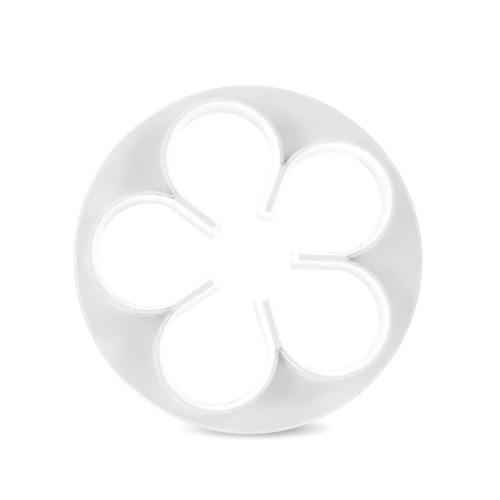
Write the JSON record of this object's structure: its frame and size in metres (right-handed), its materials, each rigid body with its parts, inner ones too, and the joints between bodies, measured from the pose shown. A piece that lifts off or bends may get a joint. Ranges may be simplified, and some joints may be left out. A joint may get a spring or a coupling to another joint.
{
  "type": "petal cutter",
  "caption": "Round white plastic cutter: a flat flange with a raised flower-shaped cutting wall, divided by short spokes that stop at an open middle.",
  "frame": {"origin": "centre of the flower, on the flange's flat back face", "axes": "+Z from the flange's back towards the cutting edge; +Y through the middle of one petal"},
  "size_m": [0.1, 0.1, 0.0125],
  "materials": {
    "white_plastic": "smooth moulded white plastic with a soft semi-gloss"
  },
  "bodies": {
    "root": {"flange": "white_plastic", "petal_wall_1": "white_plastic", "petal_wall_2": "white_plastic", "petal_wall_3": "white_plastic", "petal_wall_4": "white_plastic", "petal_wall_5": "white_plastic", "spoke_1": "white_plastic", "spoke_2": "white_plastic", "spoke_3": "white_plastic", "spoke_4": "white_plastic", "spoke_5": "white_plastic"}
  },
  "joints": []
}
